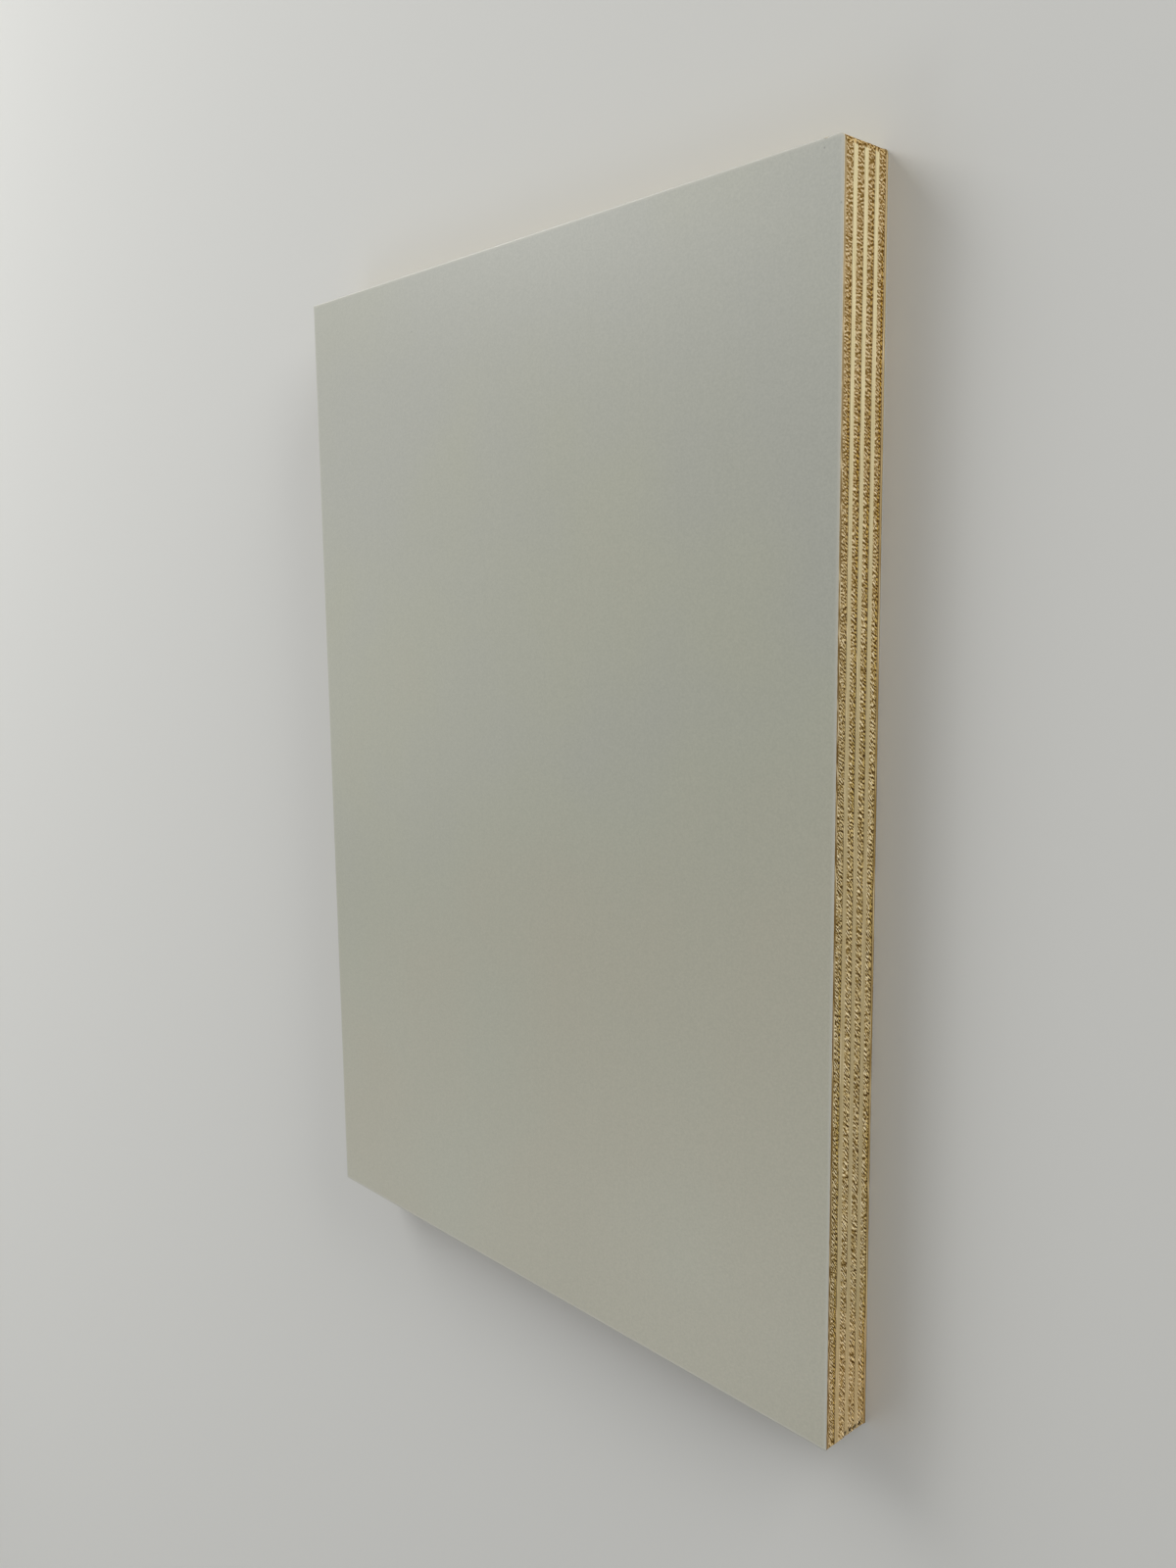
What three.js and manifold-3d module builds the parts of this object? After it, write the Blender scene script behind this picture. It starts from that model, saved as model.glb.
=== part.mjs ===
/**
 * Overlaid plywood sheet.
 *
 * A balanced board of nine veneers, glued face to face with the grain of each
 * one crossing the next. Thin hard overlays cover both faces. After pressing,
 * all four edges are sawn square through the whole lay-up, so every layer has
 * the same outline, apart from what wear and splintering have taken off it.
 *
 * Millimetres, +Z up. The sheet lies flat on its back overlay. +X is its width,
 * +Y its length, which is also the grain of the two outer veneers. The origin
 * is the middle of the underside.
 */
import * as THREE from 'three';
import { mergeVertices } from 'three/addons/utils/BufferGeometryUtils.js';
import Module from 'manifold-3d';

// Sawn size.
const SHEET_WIDTH = 210;
const SHEET_LENGTH = 297;

// Thickness of each kind of layer, and of the cured glue between two layers.
const OVERLAY_THICKNESS = 0.35;
const OUTER_VENEER_THICKNESS = 0.55;
const CROSSBAND_THICKNESS = 2.4;
const CORE_VENEER_THICKNESS = 1.4;
const GLUE_LINE = 0.02;

// Corners of the outline. Three are as the saw left them, one has been knocked round.
const CORNER_EASE = 0.4;
const WORN_CORNER_RADIUS = 1.3;
const SPLINTER_LEG = 0.6;

// The overlays' outer arris, broken with a file.
const ARRIS_EASE = 0.2;
const ARRIS_STEPS = 3;

// A flake lost from the face, on the end of the sheet beside the worn corner.
const CHIP_FROM_SIDE = 3.1;
const CHIP_LENGTH = 2.2;
const CHIP_DEPTH = 0.3;
const CHIP_SKEW = 0.85; // how far along the chip its curve is pulled down

const ARC_STEPS = 6;
const HALF_WIDTH = SHEET_WIDTH / 2;
const HALF_LENGTH = SHEET_LENGTH / 2;

/** Each kind of layer: its thickness, and the colour and roughness it shows on the sawn edge. */
const LAYER_KINDS = {
  overlay: { thickness: OVERLAY_THICKNESS, color: 0xa9aa9e, roughness: 0.45 },
  outerVeneer: { thickness: OUTER_VENEER_THICKNESS, color: 0xb6a684, roughness: 0.8 },
  crossband: { thickness: CROSSBAND_THICKNESS, color: 0x97815a, roughness: 0.95 },
  coreVeneer: { thickness: CORE_VENEER_THICKNESS, color: 0xc4b48b, roughness: 0.8 },
};

/**
 * The lay-up from the underside to the face. `splintered` layers have lost
 * fibres at the (+X, -Y) corner, and `chipped` ones share the flake lost from
 * the face.
 */
const LAY_UP = [
  { name: 'back_overlay', kind: 'overlay' },
  { name: 'back_veneer', kind: 'outerVeneer' },
  { name: 'crossband_1', kind: 'crossband', splintered: true },
  { name: 'core_veneer_1', kind: 'coreVeneer', splintered: true },
  { name: 'crossband_2', kind: 'crossband', splintered: true },
  { name: 'centre_veneer', kind: 'coreVeneer', splintered: true },
  { name: 'crossband_3', kind: 'crossband' },
  { name: 'core_veneer_2', kind: 'coreVeneer' },
  { name: 'crossband_4', kind: 'crossband' },
  { name: 'face_veneer', kind: 'outerVeneer', chipped: true },
  { name: 'face_overlay', kind: 'overlay', chipped: true },
];

const wasm = await Module();
wasm.setup();

/** Adds a quarter circle to an outline that runs anticlockwise, at corner (signX, signY). */
function roundCorner(outline, signX, signY, radius) {
  const start = Math.atan2(signY, signX) - Math.PI / 4;
  outline.absarc(
    signX * (HALF_WIDTH - radius),
    signY * (HALF_LENGTH - radius),
    radius,
    start,
    start + Math.PI / 2,
    false,
  );
}

/** Takes the corner (+X, -Y) off along the straight line where its fibres broke. */
function splinterCorner(outline) {
  outline.lineTo(HALF_WIDTH - SPLINTER_LEG, -HALF_LENGTH);
  outline.lineTo(HALF_WIDTH, -HALF_LENGTH + SPLINTER_LEG);
}

/** Dips the +Y side inwards where the flake came away, shallow towards the worn corner. */
function addChip(outline) {
  const start = HALF_WIDTH - CHIP_FROM_SIDE;
  outline.lineTo(start, HALF_LENGTH);
  outline.quadraticCurveTo(
    start - CHIP_SKEW * CHIP_LENGTH,
    HALF_LENGTH - 2 * CHIP_DEPTH,
    start - CHIP_LENGTH,
    HALF_LENGTH,
  );
}

/** The sawn outline of one layer, seen from above. */
function layerOutline({ splintered, chipped }) {
  const outline = new THREE.Shape();
  roundCorner(outline, -1, -1, CORNER_EASE);
  if (splintered) {
    splinterCorner(outline);
  } else {
    roundCorner(outline, 1, -1, CORNER_EASE);
  }
  roundCorner(outline, 1, 1, WORN_CORNER_RADIUS);
  if (chipped) {
    addChip(outline);
  }
  roundCorner(outline, -1, 1, CORNER_EASE);
  return outline;
}

/** A veneer: its outline carried straight up through its thickness. */
function veneerGeometry(outline, thickness) {
  return new THREE.ExtrudeGeometry(outline, {
    depth: thickness,
    bevelEnabled: false,
    curveSegments: ARC_STEPS,
  });
}

/** A closed geometry as a solid that can be cut. */
function toSolid(geometry) {
  const bare = geometry.clone();
  bare.deleteAttribute('normal');
  bare.deleteAttribute('uv');
  const merged = mergeVertices(bare);
  return new wasm.Manifold(new wasm.Mesh({
    numProp: 3,
    vertProperties: new Float32Array(merged.attributes.position.array),
    triVerts: new Uint32Array(merged.index.array),
  }));
}

/** A cut solid as a geometry again. */
function toGeometry(solid) {
  const { vertProperties, triVerts } = solid.getMesh();
  const geometry = new THREE.BufferGeometry();
  geometry.setAttribute('position', new THREE.BufferAttribute(vertProperties, 3));
  geometry.setIndex(new THREE.BufferAttribute(triVerts, 1));
  geometry.computeVertexNormals();
  return geometry;
}

/**
 * An overlay: a plate of twice the thickness with both arrises rounded, sawn
 * through its middle plane. What is left is square where it is glued down and
 * eased where it is handled. `side` is +1 for the face and -1 for the back.
 */
function overlayGeometry(outline, thickness, side) {
  const ease = Math.min(ARRIS_EASE, 0.9 * thickness, 0.9 * CORNER_EASE);
  const doubled = new THREE.ExtrudeGeometry(outline, {
    depth: 2 * (thickness - ease),
    bevelThickness: ease,
    bevelSize: ease,
    bevelOffset: -ease,
    bevelSegments: ARRIS_STEPS,
    curveSegments: ARC_STEPS,
  });
  doubled.translate(0, 0, ease - thickness);
  const keep = new THREE.BoxGeometry(2 * SHEET_WIDTH, 2 * SHEET_LENGTH, 2 * thickness);
  keep.translate(0, 0, side * thickness);
  const half = toGeometry(toSolid(doubled).intersect(toSolid(keep)));
  half.translate(0, 0, side > 0 ? 0 : thickness);
  return half;
}

/** One layer as a mesh, with its underside at z = 0 of its own frame. */
function makeLayer(layer, side) {
  const { thickness, color, roughness } = LAYER_KINDS[layer.kind];
  const outline = layerOutline(layer);
  const geometry = layer.kind === 'overlay'
    ? overlayGeometry(outline, thickness, side)
    : veneerGeometry(outline, thickness);
  const material = new THREE.MeshStandardMaterial({ color, roughness, metalness: 0 });
  const mesh = new THREE.Mesh(geometry, material);
  mesh.name = layer.name;
  return mesh;
}

/** Stacks the layers on the underside, a glue line between each two. */
function stackLayers(layUp) {
  const sheet = new THREE.Group();
  let height = 0;
  layUp.forEach((layer, index) => {
    const side = index < layUp.length / 2 ? -1 : 1;
    const mesh = makeLayer(layer, side);
    mesh.position.z = height;
    sheet.add(mesh);
    height += LAYER_KINDS[layer.kind].thickness + GLUE_LINE;
  });
  return sheet;
}

const plywoodSheet = stackLayers(LAY_UP);
plywoodSheet.name = 'plywood_sheet';

export default plywoodSheet;
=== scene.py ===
"""Overlaid nine-ply plywood sheet, lying flat: the looks of its veneers, overlays and sawn edges.

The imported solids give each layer's place and size. Every layer is made again here as a
closed surface with the relief that a saw leaves on it: torn, porous wood where the blade
crossed the fibres, and smooth streaked wood where it ran along them.

Shapes are worked out in millimetres, with +X across the sheet, +Y along it and +Z up, and
are turned to metres when they become meshes.
"""

import logging
import math
from dataclasses import dataclass, field, replace
from enum import Enum
from typing import Any, ClassVar

import bpy
import numpy as np
from mathutils import Matrix, Vector


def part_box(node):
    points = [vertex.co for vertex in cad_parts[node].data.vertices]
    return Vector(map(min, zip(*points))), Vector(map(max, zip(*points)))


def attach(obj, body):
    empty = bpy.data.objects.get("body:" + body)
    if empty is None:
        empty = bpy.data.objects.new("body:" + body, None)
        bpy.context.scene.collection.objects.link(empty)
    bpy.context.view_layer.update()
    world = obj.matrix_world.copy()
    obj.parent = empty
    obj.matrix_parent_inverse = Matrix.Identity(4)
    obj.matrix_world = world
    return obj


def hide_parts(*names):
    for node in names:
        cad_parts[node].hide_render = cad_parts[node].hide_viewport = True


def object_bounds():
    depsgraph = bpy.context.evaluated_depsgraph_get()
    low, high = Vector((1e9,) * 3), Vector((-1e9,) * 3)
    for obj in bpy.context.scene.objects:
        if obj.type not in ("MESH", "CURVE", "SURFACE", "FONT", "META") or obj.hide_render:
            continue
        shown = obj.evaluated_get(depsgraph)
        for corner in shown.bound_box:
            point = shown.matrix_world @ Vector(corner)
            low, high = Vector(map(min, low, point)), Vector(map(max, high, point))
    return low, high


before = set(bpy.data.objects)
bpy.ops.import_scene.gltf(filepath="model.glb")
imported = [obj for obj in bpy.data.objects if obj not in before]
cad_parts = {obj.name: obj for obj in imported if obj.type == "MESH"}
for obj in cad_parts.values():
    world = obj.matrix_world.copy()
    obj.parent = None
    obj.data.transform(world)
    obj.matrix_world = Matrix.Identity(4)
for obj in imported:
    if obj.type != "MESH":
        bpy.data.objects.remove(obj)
CAD_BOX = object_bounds()

LOG = logging.getLogger("plywood_sheet")

Array = np.ndarray
Node = bpy.types.Node
Socket = bpy.types.NodeSocket

MM = 0.001
BODY = "root"

# Settings of the Mix nodes that blend two colours, and that multiply them.
BLENDED = {"data_type": "RGBA"}
MULTIPLIED = {"data_type": "RGBA", "blend_type": "MULTIPLY"}

# Torn strokes lean more and more from the +Y end of the sheet to its -Y end: places along Y in
# millimetres, and how far a stroke slides along the edge for each millimetre that it rises.
LEAN_PLACES = (-146.0, -100.0, -30.0, 130.0)
LEANS = (2.0, 1.3, 1.15, 0.08)


class Grain(Enum):
    """Which way a veneer's fibres run."""

    ACROSS = 0
    ALONG = 1

    @property
    def direction(self) -> Array:
        """Unit vector along the fibres."""
        return np.eye(3)[self.value]


class Side(Enum):
    """Which face of the sheet an overlay covers."""

    BACK = -1
    FACE = 1


# --------------------------------------------------------------------------- colour and nodes


def linear(colour: str) -> tuple[float, float, float, float]:
    """Turns an sRGB hex colour into linear RGBA.

    Args:
        colour: The colour as "#rrggbb".

    Returns:
        The four linear channels, with alpha 1.
    """
    levels = [int(colour[i : i + 2], 16) / 255 for i in (1, 3, 5)]
    curve = [c / 12.92 if c <= 0.04045 else ((c + 0.055) / 1.055) ** 2.4 for c in levels]
    return (*curve, 1.0)


def srgb_hex(levels: list[float]) -> str:
    """Turns three linear channels into an sRGB hex colour.

    Args:
        levels: Linear red, green and blue.

    Returns:
        The colour as "#rrggbb".
    """
    curve = [12.92 * c if c <= 0.0031308 else 1.055 * c ** (1 / 2.4) - 0.055 for c in levels]
    return "#" + "".join(f"{round(255 * c):02x}" for c in curve)


def add_node(tree: bpy.types.NodeTree, kind: str, links: dict | None = None, **settings: Any) -> Node:
    """Adds one node, sets it up and links it.

    Args:
        tree: Node tree that gets the node.
        kind: Node type without its "ShaderNode" prefix.
        links: Input name or index to a value, or to the output socket that feeds it.
        settings: Attributes of the node, such as an operation.

    Returns:
        The new node.
    """
    node = tree.nodes.new("ShaderNode" + kind)
    for name, value in settings.items():
        setattr(node, name, value)
    for key, value in (links or {}).items():
        if isinstance(value, bpy.types.NodeSocket):
            tree.links.new(value, node.inputs[key])
        else:
            node.inputs[key].default_value = value
    return node


def length_share(tree: bpy.types.NodeTree, point: Socket, start: float, end: float) -> Socket:
    """How far along the sheet a place is, with a wavering border.

    Args:
        tree: Node tree of the material.
        point: Object coordinates.
        start: Distance along +Y at which the share starts to rise from 0, in metres.
        end: Distance at which it reaches 1.

    Returns:
        The share, from 0 to 1.
    """
    place = add_node(tree, "SeparateXYZ", {"Vector": point}).outputs["Y"]
    waver = add_node(tree, "TexNoise", {"Vector": point, "Scale": 1 / (30 * MM), "Detail": 1.0})
    shift = add_node(tree, "Math", {0: waver.outputs["Fac"], 1: 24 * MM, 2: place}, operation="MULTIPLY_ADD")
    links = {"Value": shift.outputs[0], "From Min": start + 12 * MM, "From Max": end + 12 * MM}
    return add_node(tree, "MapRange", links, interpolation_type="SMOOTHSTEP").outputs["Result"]


def set_ramp(ramp_node: Node, stops: list[tuple[float, str]]) -> None:
    """Gives a colour ramp its stops.

    Args:
        ramp_node: A ColorRamp node.
        stops: Position from 0 to 1 and sRGB hex colour of each stop, in order.
    """
    elements = ramp_node.color_ramp.elements
    while len(elements) < len(stops):
        elements.new(1.0)
    for element, (position, colour) in zip(elements, stops):
        element.position = position
        element.color = linear(colour)


# --------------------------------------------------------------------------- noise and meshes


def value_noise(points: Array, seed: int) -> Array:
    """Makes smooth noise from -1 to 1.

    Each whole-number corner of space has a value hashed from its place. A point takes the
    eight corners of its cell, blended along each axis by s * s * (3 - 2 * s).

    Args:
        points: Places, with x, y and z on the last axis, in units of the noise's own cell.
        seed: Picks one of many such noises.

    Returns:
        One value for each place.
    """
    cell = np.floor(points)
    blend = points - cell
    blend = blend * blend * (3 - 2 * blend)
    corner = cell.astype(np.int64)
    total = np.zeros(points.shape[:-1])
    for offset in np.ndindex(2, 2, 2):
        place = (corner + offset).astype(np.uint32)
        code = place[..., 0] * np.uint32(0x8DA6B343)
        code ^= place[..., 1] * np.uint32(0xD8163841)
        code ^= place[..., 2] * np.uint32(0xCB1AB31F)
        code ^= np.uint32((seed * 0x9E3779B1) & 0xFFFFFFFF)
        code ^= code >> np.uint32(15)
        code *= np.uint32(0x85EBCA6B)
        code ^= code >> np.uint32(13)
        code *= np.uint32(0xC2B2AE35)
        code ^= code >> np.uint32(16)
        weight = np.where(offset, blend, 1 - blend).prod(axis=-1)
        total += weight * (code / np.float64(2**31) - 1)
    return total


def fractal_noise(points: Array, cell: Array, seed: int, octaves: int = 3) -> Array:
    """Sum of noises, each with half the cell and half the strength of the one before.

    Args:
        points: Places in millimetres, with x, y and z on the last axis.
        cell: Size of the first noise's cell along x, y and z, in millimetres.
        seed: Picks one of many such noises.
        octaves: Number of noises.

    Returns:
        One value for each place, within about -1 to 1.
    """
    total = np.zeros(points.shape[:-1])
    for octave in range(octaves):
        total += value_noise(points * 2**octave / cell, seed + 101 * octave) / 2**octave
    return total / (2 - 2.0 ** (1 - octaves))


def smooth_step(value: Array | float, low: float, high: float) -> Array:
    """Rises from 0 at low to 1 at high by s * s * (3 - 2 * s).

    Args:
        value: Where to take the step.
        low: Value at which it starts to rise.
        high: Value at which it ends, which may be the smaller of the two.

    Returns:
        The step, from 0 to 1.
    """
    s = np.clip((value - low) / (high - low), 0, 1)
    return s * s * (3 - 2 * s)


def ring_solid(name: str, rings: Array, marks: dict[str, Array]) -> bpy.types.Object:
    """Makes a closed solid from rings that run from its underside's middle to its top's.

    The rings are one grid: the first parameter picks the ring, the second goes round it,
    anticlockwise seen from above. The first and last rings are closed to a pole at their mean.

    Args:
        name: Name of the piece.
        rings: Places in millimetres, by ring, then place on the ring, then axis.
        marks: Name of each mesh attribute to its value by ring and place.

    Returns:
        The new object, at the origin.
    """
    count, around, _ = rings.shape
    poles = np.stack([rings[0].mean(axis=0), rings[-1].mean(axis=0)])
    vertices = np.concatenate([rings.reshape(-1, 3), poles]) * MM
    here = np.arange(around)
    after = np.roll(here, -1)
    base = (np.arange(count - 1) * around)[:, None]
    quads = np.stack([base + here, base + after, base + around + after, base + around + here], -1)
    last = (count - 1) * around
    bottom = np.stack([np.full(around, count * around), after, here], -1)
    top = np.stack([np.full(around, count * around + 1), last + here, last + after], -1)
    corners = np.concatenate([quads.ravel(), bottom.ravel(), top.ravel()])
    sizes = np.concatenate([np.full(quads.size // 4, 4), np.full(2 * around, 3)])

    mesh = bpy.data.meshes.new(name)
    mesh.vertices.add(len(vertices))
    mesh.vertices.foreach_set("co", vertices.ravel())
    mesh.loops.add(len(corners))
    mesh.loops.foreach_set("vertex_index", corners.astype(np.int32))
    mesh.polygons.add(len(sizes))
    mesh.polygons.foreach_set("loop_start", (np.cumsum(sizes) - sizes).astype(np.int32))
    mesh.update(calc_edges=True)
    mesh.validate()
    for label, values in marks.items():
        attribute = mesh.attributes.new(label, "FLOAT", "POINT")
        ends = [values[0].mean(), values[-1].mean()]
        attribute.data.foreach_set("value", np.append(values.ravel(), ends).astype(np.float32))
    mesh.shade_smooth()
    mesh.set_sharp_from_angle(angle=math.radians(55))
    piece = bpy.data.objects.new(name, mesh)
    bpy.context.scene.collection.objects.link(piece)
    return piece


@dataclass
class Rim:
    """The sawn outline of one layer, sampled evenly all the way round.

    Attributes:
        half_width: Half the sheet's width, in millimetres.
        half_length: Half its length.
        corner_radii: Radius at the corners (+X, -Y), (+X, +Y), (-X, +Y) and (-X, -Y).
        step: Distance between samples.
        arc_samples: Number of samples round a corner.
        slacken: How much the corners' radii grow for each millimetre of inset.
        flake_reach: How far the flake's two ends lie from the worn corner's long side.
        flake_depth: Depth of the flake at its deepest.
        places: The samples in X and Y, in millimetres.
        normals: The outline's outward normal at each of them.
    """

    half_width: float
    half_length: float
    corner_radii: tuple[float, float, float, float]
    step: float
    arc_samples: int = 7
    slacken: float = 0.2
    flake_reach: tuple[float, float] = (3.1, 5.3)
    flake_depth: float = 0.3
    places: Array = field(init=False)
    normals: Array = field(init=False)

    CORNER_SIGNS: ClassVar[Array] = np.array([(1, -1), (1, 1), (-1, 1), (-1, -1)])

    def __post_init__(self) -> None:
        """Works out the outline itself."""
        self.places, self.normals = self._outline(0.0)

    def _outline(self, inset: float) -> tuple[Array, Array]:
        """Samples a rounded rectangle that lies inside the outline.

        Each corner is a quarter circle, followed by the straight side after it. Far inside,
        the corners' radii grow with the inset, so that no two samples meet.

        Args:
            inset: Distance inside the outline, in millimetres.

        Returns:
            Places and outward normals, with as many samples at any inset.
        """
        half = np.array([self.half_width, self.half_length])
        radii = np.maximum(np.array(self.corner_radii) - inset, self.slacken * inset)
        angles = (np.arange(4)[:, None] - 1 + np.linspace(0, 1, self.arc_samples)) * math.pi / 2
        outward = np.stack([np.cos(angles), np.sin(angles)], -1)
        centres = self.CORNER_SIGNS * (half - inset - radii[:, None])
        arcs = centres[:, None] + radii[:, None, None] * outward
        places, normals = [], []
        for quarter in range(4):
            start, end = arcs[quarter, -1], arcs[(quarter + 1) % 4, 0]
            samples = round(2 * half[(quarter + 1) % 2] / self.step)
            share = (np.arange(1, samples) / samples)[:, None]
            places += [arcs[quarter], start + share * (end - start)]
            normals += [outward[quarter], np.repeat(outward[quarter, -1:], samples - 1, axis=0)]
        return np.concatenate(places), np.concatenate(normals)

    def inside(self, inset: float) -> Array:
        """The rounded rectangle that lies an inset in millimetres inside the outline."""
        return self._outline(inset)[0]

    def set_back(self, depth: Array | float) -> Array:
        """The outline moved back along its normals by a small depth in millimetres."""
        return self.places - self.normals * np.reshape(depth, (-1, 1))

    def flake(self) -> Array:
        """Depth of the flake lost from the +Y side beside the corner (+X, +Y).

        With u from 0 at the flake's end nearer the corner to 1 at its other end, the depth
        is u^1.5 * (1 - u)^0.5, whose peak is 0.325, scaled to flake_depth at its deepest.

        Returns:
            The depth in millimetres at each sample.
        """
        start, end = (self.half_width - reach for reach in self.flake_reach)
        u = np.clip((self.places[:, 0] - start) / (end - start), 0, 1)
        return self.flake_depth * u**1.5 * np.sqrt(1 - u) / 0.325 * (self.normals[:, 1] > 0.99)


# --------------------------------------------------------------------------- finishes


@dataclass(frozen=True)
class WoodTone:
    """Colours of one veneer wood at one place along the sheet, as sRGB hex.

    Attributes:
        pore: Open pores and the shaded side of torn fibres, in cut end grain.
        cut: The general tone of cut end grain.
        torn: Pale ends of torn fibres.
        fleck: The palest, loose fibre ends.
        loose: What the loose side of the veneer, opened by the peeling knife, takes off these.
        long: Long grain, where the saw ran along the fibres.
        line: Fine darker lines in long grain.
    """

    pore: str
    cut: str
    torn: str
    fleck: str
    loose: str
    long: str
    line: str

    def shaded(self, share: float) -> "WoodTone":
        """The same wood with its cut end grain darkened.

        Args:
            share: Share of its light that it keeps.

        Returns:
            The darkened tones.
        """
        kept = {name: linear(getattr(self, name))[:3] for name in ("pore", "cut", "torn", "fleck")}
        return replace(self, **{name: srgb_hex([c * share for c in levels]) for name, levels in kept.items()})


@dataclass(frozen=True)
class CutMarks:
    """What a sawn veneer's mesh tells its finish, as sockets from 0 to about 1.

    Attributes:
        end_grain: 1 where the saw crossed the fibres, 0 where it ran along them.
        loose: 1 on the side of the veneer that the peeling knife opened.
        depth: Depth of the cut surface behind the saw's plane, by which the finish paints shade into the
            deepest recesses.
        border: High beside the glue lines, where fibres spill over.
    """

    end_grain: Socket
    loose: Socket
    depth: Socket
    border: Socket

    @classmethod
    def read(cls, tree: bpy.types.NodeTree) -> "CutMarks":
        """Adds one attribute node for each mark."""
        names = ("end_grain", "loose", "depth", "border")
        return cls(*(add_node(tree, "Attribute", attribute_name=name).outputs["Fac"] for name in names))


@dataclass(frozen=True)
class PeeledVeneer:
    """Rotary-peeled light hardwood, sawn and left bare: rough and matt, with no finish on it.

    The blade tears open the pores where it crosses the fibres, so end grain shows dark
    slanting strokes and pale fibre ends. Where it runs along them the wood stays pale and
    close, with fine lines.

    Attributes:
        name: Name of the material.
        grain: Which way the fibres run.
        plus_end: Colours of the wood towards the sheet's +Y end, whose paler long grain is partly its own
            tone and partly painted light.
        minus_end: Its colours towards the -Y end.
        fade: Places along +Y between which the -Y end's colours give way to the +Y end's, in metres.
        seed: Shifts the pattern.
        painted_warm_light: Factors of red, green and blue that warm the wood at the sheet's -Y end: painted
            warm bounce light.
        stroke_size: Width and height of a stroke of torn fibre, in metres.
        stroke_step: How far a stroke's twin is slid.
        twin_share: How much of the twin is taken off.
        fleck_size: Width and height of a cell that may hold a loose fibre end.
        patch_size: Width and height of a patch that is torn more or less.
        fibre_length: Length of every feature along the fibres.
        line_width: Width of a fine line in long grain.
    """

    name: str
    grain: Grain
    plus_end: WoodTone
    minus_end: WoodTone
    fade: tuple[float, float]
    seed: float
    painted_warm_light: tuple[float, float, float, float] = (1.14, 1.06, 1.01, 1.0)
    stroke_size: tuple[float, float] = (0.42 * MM, 0.8 * MM)
    stroke_step: float = 0.46 * MM
    twin_share: float = 0.8
    fleck_size: tuple[float, float] = (0.38 * MM, 0.7 * MM)
    patch_size: tuple[float, float] = (5 * MM, 3 * MM)
    fibre_length: float = 14 * MM
    line_width: float = 0.16 * MM

    def _leaning(self, tree: bpy.types.NodeTree, point: Socket) -> Socket:
        """Slides the coordinates sideways with height, so that torn strokes lean as they rise.

        Args:
            tree: Node tree of the material.
            point: Object coordinates.

        Returns:
            The coordinates, with across less height times the lean.
        """
        axes = add_node(tree, "SeparateXYZ", {"Vector": point}).outputs
        lean = add_node(tree, "Value").outputs[0]
        lean.default_value = LEANS[0]
        for start, end, rise in zip(LEAN_PLACES, LEAN_PLACES[1:], np.diff(LEANS)):
            limits = {"Value": axes["Y"], "From Min": start * MM, "From Max": end * MM, "To Max": float(rise)}
            part = add_node(tree, "MapRange", limits).outputs["Result"]
            lean = add_node(tree, "Math", {0: lean, 1: part}, operation="ADD").outputs[0]
        slide = add_node(tree, "Math", {0: axes["Z"], 1: lean}, operation="MULTIPLY").outputs[0]
        across = 1 - self.grain.value
        moved = add_node(tree, "Math", {0: axes[across], 1: slide}, operation="SUBTRACT").outputs[0]
        links = {self.grain.value: axes[self.grain.value], across: moved, 2: axes["Z"]}
        return add_node(tree, "CombineXYZ", links).outputs["Vector"]

    def _stretched(
        self, tree: bpy.types.NodeTree, point: Socket, across: float, up: float, slip: float = 0.0
    ) -> Socket:
        """Coordinates stretched along the fibres.

        Args:
            tree: Node tree of the material.
            point: Coordinates in metres.
            across: Size of a feature across the fibres and the strokes, in metres.
            up: Its size through the veneer, in metres.
            slip: How far to slide the features across the fibres, in metres.

        Returns:
            The coordinates, one unit to a feature.
        """
        size = [across, across, up]
        size[self.grain.value] = self.fibre_length
        shift = [self.seed * 0.1, self.seed * 0.07, self.seed * 0.04]
        shift[1 - self.grain.value] += slip
        links = {"Vector": point, "Location": shift, "Scale": size}
        return add_node(tree, "Mapping", links, vector_type="TEXTURE").outputs["Vector"]

    def _noise(
        self, tree: bpy.types.NodeTree, vector: Socket, detail: float = 2.0, waves: float = 0.0
    ) -> Socket:
        """A plain noise.

        Args:
            tree: Node tree of the material.
            vector: Coordinates, one unit to a feature.
            detail: Number of finer noises on top of the first.
            waves: How far the features are bent out of line.

        Returns:
            The noise, from 0 to 1.
        """
        links = {"Vector": vector, "Scale": 1.0, "Detail": detail, "Roughness": 0.55, "Distortion": waves}
        return add_node(tree, "TexNoise", links).outputs["Fac"]

    def _strokes(self, tree: bpy.types.NodeTree, leaning: Socket) -> Socket:
        """Strokes of torn fibre: a noise less most of its own twin, a stroke further on.

        The difference keeps the strokes and drops wide blotches.

        Args:
            tree: Node tree of the material.
            leaning: Coordinates that lean with height.

        Returns:
            The strokes, about 0.5 on average.
        """
        near, far = (
            self._noise(tree, self._stretched(tree, leaning, *self.stroke_size, slip), 1.0, waves=0.4)
            for slip in (0.0, self.stroke_step)
        )
        terms = {0: far, 1: -self.twin_share, 2: near}
        less = add_node(tree, "Math", terms, operation="MULTIPLY_ADD").outputs[0]
        return add_node(tree, "Math", {0: less, 1: 0.5 * self.twin_share}, operation="ADD").outputs[0]

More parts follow.
